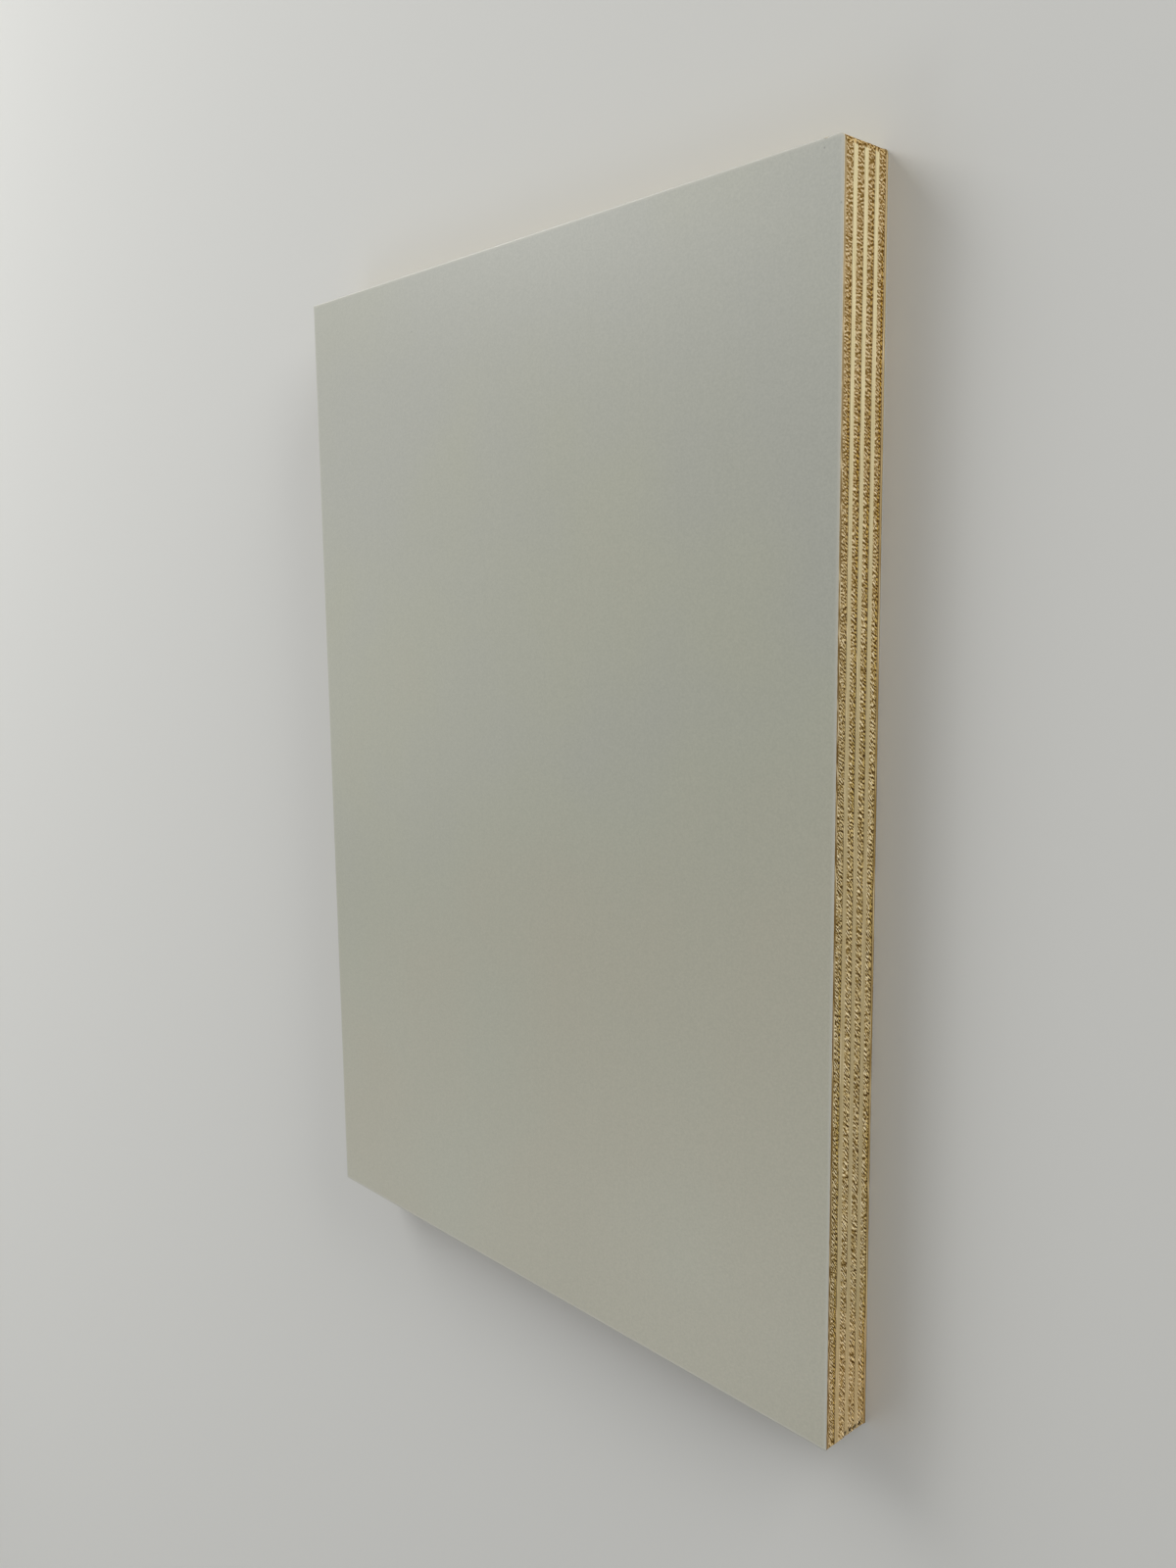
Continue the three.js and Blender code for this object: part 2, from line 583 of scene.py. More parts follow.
    def _level(
        self, tree: bpy.types.NodeTree, strokes: Socket, patches: Socket, torn: Socket, loose: Socket
    ) -> Socket:
        """Where the cut end grain falls on the ramp from open pores to pale fibre ends.

        The strokes less 0.5 are scaled by how far the patch is torn, and by up to 4 on the
        loose side, about a middle that shifts a little from patch to patch.

        Args:
            tree: Node tree of the material.
            strokes: Strokes of torn fibre.
            patches: Patches that are torn more or less.
            torn: How far each patch is torn.
            loose: The loose-side mark.

        Returns:
            The level, from 0 to 1.
        """
        centred = add_node(tree, "Math", {0: strokes, 1: 0.5}, operation="SUBTRACT").outputs[0]
        opened = add_node(tree, "MapRange", {"Value": loose, "To Min": 1.0, "To Max": 4.0}).outputs["Result"]
        gain = add_node(tree, "Math", {0: torn, 1: opened}, operation="MULTIPLY").outputs[0]
        limits = {"Value": loose, "To Min": 0.417, "To Max": 0.4}
        middle = add_node(tree, "MapRange", limits).outputs["Result"]
        base = add_node(tree, "Math", {0: patches, 1: 0.15, 2: middle}, operation="MULTIPLY_ADD").outputs[0]
        return add_node(tree, "Math", {0: centred, 1: gain, 2: base}, operation="MULTIPLY_ADD").outputs[0]

    def _flecks(self, tree: bpy.types.NodeTree, leaning: Socket, torn: Socket, loose: Socket) -> Socket:
        """Loose pale fibre ends, in some of the cells of a scatter, clear of the loose side.

        Args:
            tree: Node tree of the material.
            leaning: Coordinates that lean with height.
            torn: How far each patch is torn.
            loose: The loose-side mark.

        Returns:
            The flecks, from 0 to 1.
        """
        cells = self._stretched(tree, leaning, *self.fleck_size)
        scatter = add_node(tree, "TexVoronoi", {"Vector": cells, "Scale": 1.0}).outputs
        chance = add_node(tree, "SeparateColor", {"Color": scatter["Color"]}).outputs["Red"]
        fleck = add_node(tree, "Math", {0: 1.0, 1: loose}, operation="SUBTRACT").outputs[0]
        for value, start, end in ((scatter["Distance"], 0.4, 0.22), (chance, 0.78, 0.9), (torn, 0.7, 0.91)):
            limits = {"Value": value, "From Min": start, "From Max": end}
            share = add_node(tree, "MapRange", limits).outputs["Result"]
            fleck = add_node(tree, "Math", {0: fleck, 1: share}, operation="MULTIPLY").outputs[0]
        return fleck

    def _look(self, tree: bpy.types.NodeTree, marks: CutMarks, strokes: Socket) -> Socket:
        """Share of the end-grain look, with fibres that spill a little way over the glue lines.

        Args:
            tree: Node tree of the material.
            marks: The mesh's marks.
            strokes: Strokes of torn fibre, which pick where fibres spill.

        Returns:
            1 where the surface looks like end grain, 0 where it looks like long grain.
        """
        limits = {"Value": strokes, "From Min": 0.42, "From Max": 0.6}
        chosen = add_node(tree, "MapRange", limits).outputs["Result"]
        spill = add_node(tree, "Math", {0: marks.border, 1: chosen}, operation="MULTIPLY").outputs[0]
        terms = {0: marks.end_grain, 1: -2.0, 2: 1.0}
        turned = add_node(tree, "Math", terms, operation="MULTIPLY_ADD").outputs[0]
        terms = {0: spill, 1: turned, 2: marks.end_grain}
        return add_node(tree, "Math", terms, operation="MULTIPLY_ADD").outputs[0]

    def _cut_colour(
        self, tree: bpy.types.NodeTree, tone: WoodTone, level: Socket, fleck: Socket, loose: Socket
    ) -> Socket:
        """Colour of cut end grain in one set of tones.

        Args:
            tree: Node tree of the material.
            tone: The set of tones.
            level: Place on the ramp from open pores to pale fibre ends.
            fleck: Loose fibre ends.
            loose: The loose-side mark, where the tint of that side multiplies the rest.

        Returns:
            The colour.
        """
        ramp = add_node(tree, "ValToRGB", {"Fac": level})
        set_ramp(ramp, [(0.4, tone.pore), (0.475, tone.cut), (0.545, tone.torn), (0.66, tone.fleck)])
        flecked = {0: fleck, 6: ramp.outputs["Color"], 7: linear(tone.fleck)}
        cut = add_node(tree, "Mix", flecked, **BLENDED).outputs[2]
        tinted = {0: loose, 6: linear("#ffffff"), 7: linear(tone.loose)}
        tint = add_node(tree, "Mix", tinted, **BLENDED).outputs[2]
        return add_node(tree, "Mix", {0: 1.0, 6: cut, 7: tint}, **MULTIPLIED).outputs[2]

    def material(self) -> bpy.types.Material:
        """Builds the material.

        Returns:
            A matt wood that reads the mesh's cut marks.
        """
        made = bpy.data.materials.new(self.name)
        made.use_nodes = True
        tree = made.node_tree
        shader = tree.nodes["Principled BSDF"]
        point = add_node(tree, "TexCoord").outputs["Object"]
        marks = CutMarks.read(tree)

        leaning = self._leaning(tree, point)
        strokes = self._strokes(tree, leaning)
        patches = self._noise(tree, self._stretched(tree, point, *self.patch_size))
        limits = {"Value": patches, "From Min": 0.36, "From Max": 0.56, "To Min": 0.78, "To Max": 0.93}
        torn = add_node(tree, "MapRange", limits).outputs["Result"]
        level = self._level(tree, strokes, patches, torn, marks.loose)
        fleck = self._flecks(tree, leaning, torn, marks.loose)
        look = self._look(tree, marks, strokes)
        lines = self._noise(tree, self._stretched(tree, point, self.line_width, self.line_width), 3.0)
        limits = {"Value": lines, "From Min": 0.42, "From Max": 0.68}
        line = add_node(tree, "MapRange", limits).outputs["Result"]

        tones = []
        for tone in (self.minus_end, self.plus_end):
            cut = self._cut_colour(tree, tone, level, fleck, marks.loose)
            streaked = {0: line, 6: linear(tone.long), 7: linear(tone.line)}
            long = add_node(tree, "Mix", streaked, **BLENDED).outputs[2]
            tones.append(add_node(tree, "Mix", {0: look, 6: long, 7: cut}, **BLENDED).outputs[2])
        # Blends the -Y end's colours into the +Y end's: the paler long grain towards +Y is partly the wood's
        # own tone, partly painted light.
        along = length_share(tree, point, *self.fade)
        colour = add_node(tree, "Mix", {0: along, 6: tones[0], 7: tones[1]}, **BLENDED).outputs[2]
        # Painted warm bounce light: the wood is warmed towards the sheet's -Y end.
        end = length_share(tree, point, -105 * MM, -138 * MM)
        colour = add_node(tree, "Mix", {0: end, 6: colour, 7: self.painted_warm_light}, **MULTIPLIED).outputs[2]
        # Painted shade: the deeper a recess, the darker its colour, so the bites by the corner (+X, -Y) go
        # almost black.
        limits = {"Value": marks.depth, "From Min": 0.6, "From Max": 2.4, "To Min": 1.0, "To Max": 0.06}
        shade = add_node(tree, "MapRange", limits).outputs["Result"]
        colour = add_node(tree, "Mix", {0: 1.0, 6: colour, 7: shade}, **MULTIPLIED).outputs[2]
        tree.links.new(colour, shader.inputs["Base Color"])

        grit = add_node(tree, "Mix", {0: marks.end_grain, 2: lines, 3: strokes}, data_type="FLOAT").outputs[0]
        limits = {"Value": marks.end_grain, "To Min": 0.12, "To Max": 0.9}
        lift = add_node(tree, "MapRange", limits).outputs["Result"]
        limits = {"Value": marks.end_grain, "To Min": 0.72, "To Max": 0.95}
        rough = add_node(tree, "MapRange", limits).outputs["Result"]
        bump = add_node(tree, "Bump", {"Strength": lift, "Distance": 0.25 * MM, "Height": grit})
        tree.links.new(bump.outputs["Normal"], shader.inputs["Normal"])
        tree.links.new(rough, shader.inputs["Roughness"])
        shader.inputs["Specular IOR Level"].default_value = 0.15
        return made


@dataclass(frozen=True)
class ResinOverlay:
    """Resin-filled paper film, pressed on smooth: satin, close and almost even in tone.

    The eye sees a soft sheen, a slight cloudiness, a painted sheen that leaves the film cooler and
    greyer towards the sheet's +Y end and warmer towards its -Y end, the grain of the wood under it
    as the faintest lines, and a paler arris, a painted highlight of the eased arris.

    Attributes:
        name: Name of the material.
        base: Colour of the film.
        warm: Its colour in the warmest clouds, and towards the sheet's -Y end, away from the painted sheen.
        cool: Its colour in the coolest clouds, and towards the +Y end, where it stands for painted sheen.
        arris: Paler colour of the eased arris: a painted highlight where it catches the light.
        cut_fresh: Colour of the sawn edge of the film towards the sheet's +Y end.
        cut_aged: Colour of that edge towards the -Y end, darker.
        speck: Colour of small specks in the film.
        speck_places: Their places in X and Y, in millimetres.
        speck_radius: Their radius, in metres.
        cloud_size: Width of a cloud in the tone.
        line_size: Width, length and height of a faint line of the wood's grain.
        grain_size: Width of a grain of the surface.
    """

    name: str
    base: str
    warm: str
    cool: str
    arris: str
    cut_fresh: str
    cut_aged: str
    speck: str
    speck_places: tuple[tuple[float, float], ...] = ()
    speck_radius: float = 0.35 * MM
    cloud_size: float = 70 * MM
    line_size: tuple[float, float, float] = (1.4 * MM, 60 * MM, 1.4 * MM)
    grain_size: float = 0.5 * MM

    def _relief(self, tree: bpy.types.NodeTree, point: Socket) -> Socket:
        """Fine grain of the film over faint lines along the sheet.

        Args:
            tree: Node tree of the material.
            point: Object coordinates.

        Returns:
            The height of the surface, from 0 to 1.
        """
        links = {"Vector": point, "Scale": self.line_size}
        vector = add_node(tree, "Mapping", links, vector_type="TEXTURE").outputs["Vector"]
        lines = add_node(tree, "TexNoise", {"Vector": vector, "Scale": 1.0, "Detail": 3.0}).outputs["Fac"]
        fine = {"Vector": point, "Scale": 1 / self.grain_size, "Detail": 2.0}
        grain = add_node(tree, "TexNoise", fine).outputs["Fac"]
        return add_node(tree, "Mix", {0: 0.08, 2: grain, 3: lines}, data_type="FLOAT").outputs[0]

    def _body_colour(
        self, tree: bpy.types.NodeTree, point: Socket, clouds: Socket, relief: Socket
    ) -> Socket:
        """Colour of the film away from its edges: clouds, with a painted sheen that leaves it cooler towards
        +Y and warmer towards -Y, times relief.

        Args:
            tree: Node tree of the material.
            point: Object coordinates.
            clouds: Wide soft noise.
            relief: Height of the surface.

        Returns:
            The colour.
        """
        # Painted sheen: the film turns cooler and greyer towards the sheet's +Y end, warmer towards its -Y
        # end.
        painted_sheen_drift = length_share(tree, point, 130 * MM, -150 * MM)
        terms = {0: painted_sheen_drift, 1: 0.5, 2: clouds}
        shifted = add_node(tree, "Math", terms, operation="MULTIPLY_ADD").outputs["Value"]
        tint = add_node(tree, "ValToRGB", {"Fac": shifted})
        set_ramp(tint, [(0.45, self.cool), (0.7, self.base), (1.0, self.warm)])
        limits = {"Value": relief, "From Min": 0.3, "From Max": 0.7, "To Min": 0.94, "To Max": 1.06}
        tone = add_node(tree, "MapRange", limits).outputs["Result"]
        return add_node(tree, "Mix", {0: 1.0, 6: tint.outputs["Color"], 7: tone}, **MULTIPLIED).outputs[2]

    def material(self) -> bpy.types.Material:
        """Builds the material.

        Returns:
            A satin film that reads the mesh's arris and cut marks.
        """
        made = bpy.data.materials.new(self.name)
        made.use_nodes = True
        tree = made.node_tree
        shader = tree.nodes["Principled BSDF"]
        point = add_node(tree, "TexCoord").outputs["Object"]
        arris, cut = (
            add_node(tree, "Attribute", attribute_name=name).outputs["Fac"] for name in ("arris", "cut")
        )
        wide = {"Vector": point, "Scale": 1 / self.cloud_size, "Detail": 2.0}
        clouds = add_node(tree, "TexNoise", wide).outputs["Fac"]
        relief = self._relief(tree, point)

        colour = self._body_colour(tree, point, clouds, relief)
        along = length_share(tree, point, 20 * MM, 120 * MM)
        tones = {0: along, 6: linear(self.cut_aged), 7: linear(self.cut_fresh)}
        sawn = add_node(tree, "Mix", tones, **BLENDED).outputs[2]
        # The arris takes a paler colour: a painted highlight of the eased arris.
        layers = [(arris, linear(self.arris)), (cut, sawn)]
        for x, y in self.speck_places:
            place = {0: point, 1: (x * MM, y * MM, CAD_BOX[1].z)}
            gap = add_node(tree, "VectorMath", place, operation="DISTANCE").outputs["Value"]
            limits = {"Value": gap, "From Min": self.speck_radius, "From Max": 0.0, "To Max": 0.6}
            layers.append((add_node(tree, "MapRange", limits).outputs["Result"], linear(self.speck)))
        for share, tone in layers:
            colour = add_node(tree, "Mix", {0: share, 6: colour, 7: tone}, **BLENDED).outputs[2]
        tree.links.new(colour, shader.inputs["Base Color"])

        limits = {"Value": clouds, "From Min": 0.3, "From Max": 0.7, "To Min": 0.36, "To Max": 0.4}
        rough = add_node(tree, "MapRange", limits).outputs["Result"]
        tree.links.new(rough, shader.inputs["Roughness"])
        bump = add_node(tree, "Bump", {"Strength": 0.12, "Distance": 0.05 * MM, "Height": relief})
        tree.links.new(bump.outputs["Normal"], shader.inputs["Normal"])
        shader.inputs["IOR"].default_value = 1.55
        return made


@dataclass(frozen=True)
class StudioPaper:
    """Matt paper for the floor of the set: plain, pale and even.

    Attributes:
        name: Name of the material.
        colour: Its colour.
    """

    name: str
    colour: str

    def material(self) -> bpy.types.Material:
        """Builds the material.

        Returns:
            One colour, fully matt.
        """
        made = bpy.data.materials.new(self.name)
        made.use_nodes = True
        shader = made.node_tree.nodes["Principled BSDF"]
        shader.inputs["Base Color"].default_value = linear(self.colour)
        shader.inputs["Roughness"].default_value = 0.9
        shader.inputs["Specular IOR Level"].default_value = 0.2
        return made


# --------------------------------------------------------------------------- the sheet's layers


@dataclass
class SawnVeneer:
    """One veneer of the sheet, closed, with the relief of the saw all round its edge.

    Attributes:
        node: CAD node that it replaces.
        slot: The record's material slot; not used.
        finish: Wood that it is made of.
        seed: Picks its own relief.
        bites: Heights in millimetres of the bites that splinters left at the corner (+X, -Y).
        chipped: Whether the flake lost from the face reaches it.
        looseness: How plain its loose side is at each of loose_places.
        loose_places: Places along Y.
        corner_ease: Radius of a corner of the sheet that isn't worn.
        worn_corner: Radius of the worn corner (+X, +Y).
        splintered_corner: Radius of the corner (+X, -Y) where splinters have left it.
        broken_reach: How far from the worn corner its fibres are broken.
        bite_size: Half-widths in X, Y and Z of a bite.
        bite_gap: How far its middle lies from the -Y end.
        bite_depth: Its depth at its deepest.
        spill: Width of the border beside a glue line over which fibres spill.
        rim_step: Distance between samples round the edge.
        row_height: Distance between rows up the edge.
        cap_inset: How far the edge's detail reaches inside the veneer.
        cut_back: How far end grain lies behind the saw's plane all over.
        tear_depth: How deeply it is torn.
        loose_depth: How much deeper the loose side lies.
        streak_depth: Depth of the streaks in long grain.
        stroke_cell: Size of torn strokes across the fibres, along them and up.
        patch_cell: Size of the patches that are torn more or less.
        streak_cell: Size of the streaks.
    """

    node: str
    slot: str
    finish: PeeledVeneer
    seed: int
    bites: tuple[float, ...] = ()
    chipped: bool = False
    looseness: tuple[float, ...] = (0.6, 0.8, 0.9, 0.5)
    loose_places: tuple[float, ...] = (-80.0, 15.0, 100.0, 140.0)
    corner_ease: float = 0.4
    worn_corner: float = 1.3
    splintered_corner: float = 0.5
    broken_reach: float = 1.9
    bite_size: tuple[float, float, float] = (0.8, 0.48, 0.46)
    bite_gap: float = 0.85
    bite_depth: float = 1.5
    spill: float = 0.35
    rim_step: float = 0.25
    row_height: float = 0.22
    cap_inset: float = 1.5
    cut_back: float = 0.05
    tear_depth: float = 0.13
    loose_depth: float = 0.08
    streak_depth: float = 0.03
    stroke_cell: tuple[float, float, float] = (0.5, 8.0, 1.0)
    patch_cell: tuple[float, float, float] = (6.0, 30.0, 3.0)
    streak_cell: tuple[float, float, float] = (0.4, 25.0, 0.4)

    def build(self) -> bpy.types.Object:
        """Builds the veneer from its CAD node's box.

        The solid is a stack of rings: an inner ring of the underside, rows up the sawn edge,
        and an inner ring of the top. Each row is the outline set back along its normal by
        the recess at that place.

        Returns:
            The finished piece.
        """
        low, high = (np.array(corner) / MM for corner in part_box(self.node))
        splinter = self.splintered_corner if self.bites else self.corner_ease
        radii = (splinter, self.worn_corner, self.corner_ease, self.corner_ease)
        rim = Rim(high[0], high[1], radii, self.rim_step)
        rows = max(3, round((high[2] - low[2]) / self.row_height)) + 1
        heights = np.linspace(low[2], high[2], rows)
        share = np.broadcast_to(np.linspace(0, 1, rows)[:, None], (rows, len(rim.places)))
        wall = np.empty((rows, len(rim.places), 3))
        wall[..., :2] = rim.places
        wall[..., 2] = heights[:, None]

        end_grain = smooth_step(np.abs(rim.normals @ self.finish.grain.direction[:2]), 0.15, 0.55)
        corner_gap = np.hypot(rim.places[:, 0] - rim.half_width, rim.places[:, 1] - rim.half_length)
        broken = smooth_step(self.broken_reach - corner_gap, 0, 0.5)
        end_grain = np.broadcast_to(np.maximum(end_grain, broken), share.shape)
        recess, loose = self._recess(wall, share, end_grain)
        loose = np.maximum(loose, 0.55 * broken)
        for height in self.bites:
            recess = recess + self._bite(wall, rim, height)
        if self.chipped:
            recess = recess + rim.flake()
        rings = wall.copy()
        rings[..., :2] -= rim.normals * recess[..., None]

        inner = rim.inside(self.cap_inset)
        caps = [np.column_stack([inner, np.full(len(inner), z)])[None] for z in (low[2], high[2])]
        rings = np.concatenate([caps[0], rings, caps[1]])
        # The finish darkens the deepest recesses by this depth: painted shade.
        depth = recess / (self.tear_depth + self.cut_back + self.loose_depth)
        edge_gap = (high[2] - low[2]) * np.minimum(share, 1 - share)
        border = 0.9 - smooth_step(edge_gap, 0, self.spill)
        marks = {"end_grain": end_grain, "loose": loose, "depth": depth, "border": border}
        marks = {key: np.concatenate([value[:1], value, value[-1:]]) for key, value in marks.items()}
        piece = ring_solid(self.node + "_wood", rings, marks)
        piece.data.materials.append(self.finish.material())
        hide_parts(self.node)
        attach(piece, BODY)
        return piece

    def _recess(self, wall: Array, share: Array, end_grain: Array) -> tuple[Array, Array]:
        """How far the cut surface lies behind the saw's plane.

        End grain is cut back a little all over, torn by a noise of slanted strokes whose
        strength changes from patch to patch, and opened along the loose side of the veneer.
        Long grain has shallow streaks along the fibres.

        Args:
            wall: Places on the saw's plane, by row and place round the rim.
            share: Height within the veneer, from 0 at its underside to 1 at its top.
            end_grain: 1 where the saw crossed the fibres, 0 where it ran along them.

        Returns:
            The recess in millimetres, and the loose-side mark from 0 to 1.
        """
        slanted = wall.copy()
        lean = np.interp(wall[..., 1], LEAN_PLACES, LEANS)
        slanted[..., 1 - self.finish.grain.value] -= lean * wall[..., 2]
        torn = 0.5 + 0.5 * fractal_noise(slanted, self._cell(self.stroke_cell), self.seed, 3)
        patches = fractal_noise(wall, self._cell(self.patch_cell), self.seed + 7, 2)
        rough = smooth_step(patches, -0.5, 0.5)
        width = 0.38 + 0.16 * value_noise(wall / np.array([9.0, 9.0, 50.0]), self.seed + 13)
        loose = 1 - smooth_step(share, width - 0.16, width + 0.08)
        loose = loose * np.interp(wall[..., 1], self.loose_places, self.looseness)
        loose = loose * (1 + 0.4 * value_noise(wall / np.array([20.0, 20.0, 50.0]), self.seed + 17))
        cut = self.cut_back + self.tear_depth * torn * (0.5 + 0.5 * rough) + self.loose_depth * loose
        fine = fractal_noise(wall, self._cell(self.streak_cell), self.seed + 23, 2)
        streaks = self.streak_depth * (0.5 + 0.5 * fine)
        return end_grain * cut + (1 - end_grain) * streaks, np.clip(loose, 0, 1) * end_grain

    def _cell(self, size: tuple[float, float, float]) -> Array:
        """Turns the size of a noise's cell into the sheet's own axes.

        Args:
            size: Its size across the fibres, along them and up, in millimetres.

        Returns:
            Its size in X, Y and Z.
        """
        across, along, up = size
        cell = np.array([across, across, up])
        cell[self.finish.grain.value] = along
        return cell

    def _bite(self, wall: Array, rim: Rim, height: float) -> Array:
        """Depth of one bite by the corner (+X, -Y): a bell, exp(-d^2), of the distance from its middle.

        Args:
            wall: Places on the saw's plane, by row and place round the rim.
            rim: The veneer's outline.
            height: Height of the bite's middle.

        Returns:
            The depth in millimetres.
        """
        middle = np.array([rim.half_width, -rim.half_length + self.bite_gap, height])
        away = (wall - middle) / np.array(self.bite_size)
        return self.bite_depth * np.exp(-(away**2).sum(axis=-1))


@dataclass
class Overlay:
    """The hard film on one face of the sheet, with its arris eased all round.

    Attributes:
        node: CAD node that it replaces.
        side: Which face it covers.
        finish: Film that it is made of.
        seed: Picks its own wear.
        chipped: Whether it has lost the flake beside the worn corner.
        rim_step: Distance between samples round the edge, in millimetres.
        arris_ease: Radius of the eased arris.
        nibble_depth: Depth of the nibbles that wear has taken from it.
        nibble_cell: Size of a nibble in X, Y and Z.
        cap_inset: How far the edge reaches in on the glued side.
        shelves: Insets of the rings across the outer face.
        ripple: Depth of the film's slight waviness.
        ripple_cell: Size of a wave in X, Y and Z.
    """

    node: str
    side: Side
    finish: ResinOverlay
    seed: int
    chipped: bool = False
    rim_step: float = 0.7
    arris_ease: float = 0.2
    nibble_depth: float = 0.11
    nibble_cell: tuple[float, float, float] = (2.2, 2.2, 9.0)
    cap_inset: float = 1.5
    shelves: tuple[float, ...] = (0.42, 0.65, 1, 1.6, 2.8, 5, 9, 15, 23, 33, 45, 58, 72, 86)
    ripple: float = 0.01
    ripple_cell: tuple[float, float, float] = (20.0, 70.0, 9.0)

    def build(self) -> bpy.types.Object:
        """Builds the overlay from its CAD node's box.

        The solid is a stack of rings. From the glued side they go up the square edge, round
        the eased arris by a quarter circle, and in across the outer face towards its middle.

        Returns:
            The finished piece.
        """
        low, high = (np.array(corner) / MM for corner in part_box(self.node))
        ease, worn = SawnVeneer.corner_ease, SawnVeneer.worn_corner
        rim = Rim(high[0], high[1], (ease, worn, ease, ease), self.rim_step)
        thickness = high[2] - low[2]
        around = len(rim.places)
        here = np.column_stack([rim.places, np.zeros(around)])
        nibbles = fractal_noise(here, np.array(self.nibble_cell), self.seed, 3)
        setback = self.nibble_depth * smooth_step(nibbles, 0.25, 0.8)
        if self.chipped:
            setback = setback + rim.flake()

        turn = np.radians([0, 30, 60, 90])
        heights = np.concatenate([[0, 0], thickness - self.arris_ease * (1 - np.sin(turn))])
        insets = np.concatenate([[0, 0], self.arris_ease * (1 - np.cos(turn))])
        worn_share = np.array([0.3, 0.3, 0.6, 1, 1, 1])
        rings = [np.column_stack([rim.inside(self.cap_inset), np.zeros(around)])]
        rings += [
            np.column_stack([rim.set_back(inset + share * setback), np.full(around, height)])
            for inset, share, height in zip(insets[1:], worn_share[1:], heights[1:])
        ]
        # arris marks the edge and the eased arris, where the film takes its painted highlight.
        marks = [np.ones(around)] * len(rings)
        cuts = [np.full(around, smooth_step(rise, 0.25, 0.15)) for rise in heights]
        for shelf in self.shelves:
            place = rim.inside(shelf)
            level = np.column_stack([place, np.zeros(around)])
            wave = 0.5 + 0.5 * fractal_noise(level, np.array(self.ripple_cell), self.seed + 5, 2)
            drop = self.ripple * wave * smooth_step(shelf, 0.5, 5.0)
            rings.append(np.column_stack([place, thickness - drop]))
            marks.append(np.full(around, smooth_step(shelf, 0.9, 0.3)))
            cuts.append(np.zeros(around))
        stack, arris, cut = np.stack(rings), np.stack(marks), np.stack(cuts)
        if self.side is Side.FACE:
            stack[..., 2] += low[2]
        else:
            stack[..., 2] = high[2] - stack[..., 2]
            stack, arris, cut = stack[::-1], arris[::-1], cut[::-1]
        piece = ring_solid(self.node + "_film", stack, {"arris": arris, "cut": cut})
        piece.data.materials.append(self.finish.material())
        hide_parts(self.node)
        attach(piece, BODY)
        return piece


# Peeled hardwood, cut end grain and long grain, at the sheet's +Y and -Y ends; the +Y end's paler long grain
# is partly painted light, partly the wood's own tone.
PLUS_END_WOOD = WoodTone(
    pore="#6d531d",
    cut="#8d7040",
    torn="#aa9066",
    fleck="#d2be98",
    loose="#d0b450",
    long="#d4c8a0",
    line="#bcad82",
)
MINUS_END_WOOD = WoodTone(
    pore="#442e06",
    cut="#8a6e34",
    torn="#b7a16e",
    fleck="#efdfb8",
    loose="#e0d094",
    long="#aa9a74",
    line="#9a8a64",
)


@dataclass(frozen=True)
class Ply:
    """One veneer's place in the lay-up, and what tells it from the others.

    Attributes:
        node: Its CAD node.
        slot: The record's material slot.
        grain: Which way its fibres run.
        plus_end: Its wood towards the sheet's +Y end.
        minus_end: Its wood towards the -Y end.
        fade: Places along +Y between which the -Y end's wood gives way to the +Y end's, in metres.
        bites: Heights of the bites at the corner (+X, -Y), in millimetres.
        chipped: Whether the flake lost from the face reaches it.
        looseness: How plain its loose side is, from the -Y end to the +Y end.
    """

    node: str
    slot: str
    grain: Grain
    plus_end: WoodTone = PLUS_END_WOOD
    minus_end: WoodTone = MINUS_END_WOOD
    fade: tuple[float, float] = (-0.005, 0.125)
    bites: tuple[float, ...] = ()
    chipped: bool = False
    looseness: tuple[float, ...] = SawnVeneer.looseness


